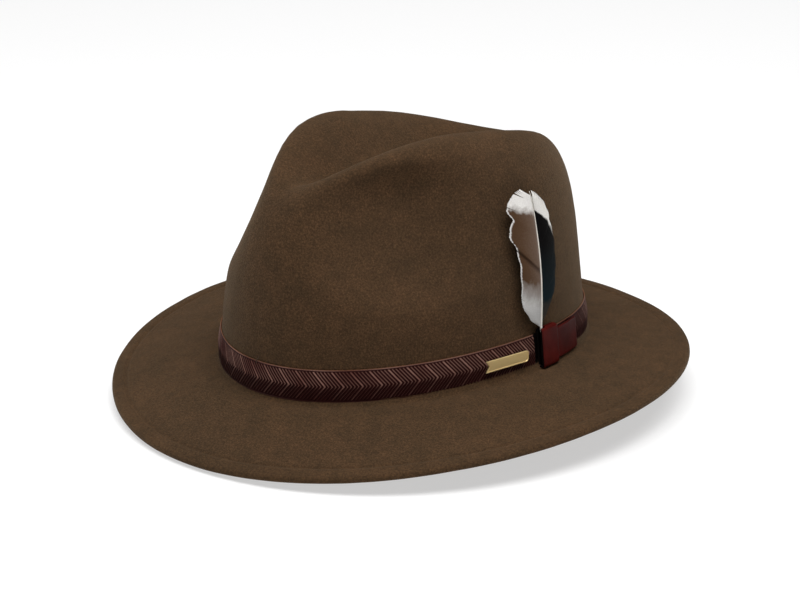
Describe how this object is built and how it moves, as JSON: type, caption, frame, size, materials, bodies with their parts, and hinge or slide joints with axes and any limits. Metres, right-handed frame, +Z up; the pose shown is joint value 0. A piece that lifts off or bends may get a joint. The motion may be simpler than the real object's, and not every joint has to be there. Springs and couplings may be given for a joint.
{
  "type": "fedora hat",
  "caption": "Brown felt fedora with a dented teardrop crown, curved brim, embossed leather band with brass plate, and a feather that slides out of the keeper.",
  "frame": {"origin": "centre of the head opening, on the plane of the sweatband's lower edge", "axes": "+Z up out of the crown, front of the hat towards -Y, wearer's left (the feather's side) towards +X"},
  "size_m": [0.3014, 0.3194, 0.1502],
  "materials": {
    "felt_brown": "mottled brown wool felt, matt and slightly fuzzy",
    "thread_brown": "dark brown sewing thread",
    "leather_oxblood": "oxblood leather embossed with a herringbone",
    "leather_plain": "smooth red-brown leather",
    "brass": "brushed brass",
    "feather_quill": "cream horn",
    "feather_grey_brown": "grey-brown barbs with white ends",
    "feather_dark_teal": "black-teal barbs with a white edge",
    "leather_tan": "soft brown sweatband leather",
    "reed_plastic": "clear reed strip",
    "ribbon_brown": "ribbed grosgrain ribbon",
    "label_cloth": "blank woven label",
    "satin_brown": "brown satin"
  },
  "bodies": {
    "hat": {"felt_body": "felt_brown", "welt_thread": "thread_brown", "hatband_strap": "leather_oxblood", "hatband_tail": "leather_plain", "hatband_keeper": "leather_plain", "badge_plate": "brass", "band_tack_front": "thread_brown", "band_tack_right": "thread_brown", "band_tack_rear": "thread_brown", "sweatband": "leather_tan", "sweatband_reed": "reed_plastic", "reed_tape": "ribbon_brown", "sweatband_stitching": "thread_brown", "sweatband_back_tab": "ribbon_brown", "size_label": "label_cloth", "sweatband_bow": "ribbon_brown", "lining_wall": "satin_brown", "lining_tip": "satin_brown", "lining_piping": "satin_brown"},
    "feather": {"feather_quill": "feather_quill", "feather_front_vane": "feather_grey_brown", "feather_rear_vane": "feather_dark_teal"}
  },
  "joints": [
    {"name": "feather_pull", "type": "slide", "parent": "hat", "child": "feather", "axis": [-0.1109, 0, 0.9938], "range_m": [0, 0.045]}
  ]
}
